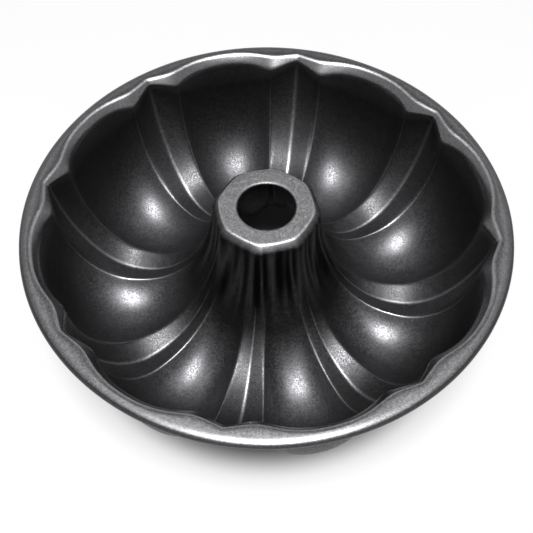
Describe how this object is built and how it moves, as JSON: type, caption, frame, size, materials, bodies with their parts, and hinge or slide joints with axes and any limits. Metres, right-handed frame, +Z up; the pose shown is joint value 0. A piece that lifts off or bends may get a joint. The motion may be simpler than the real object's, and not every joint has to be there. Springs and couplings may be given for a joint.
{
  "type": "fluted tube pan",
  "caption": "Round steel baking pan with deep rounded lobes, narrow V flutes between them, a flat wire-rolled rim and an open centre tube, for ring-shaped cakes.",
  "frame": {"origin": "middle of the plane that the pan stands on, on the tube's axis", "axes": "+Z up along the tube's axis, +X and +Y each along the bottom of a flute"},
  "size_m": [0.2598, 0.2598, 0.0866],
  "materials": {
    "nonstick_steel": "semi-gloss dark grey non-stick coat with a fine metallic grain, on drawn carbon steel",
    "zinced_wire": "drawn steel wire, zinc plated"
  },
  "bodies": {
    "root": {"fluted_shell": "nonstick_steel", "rim_wire": "zinced_wire"}
  },
  "joints": []
}
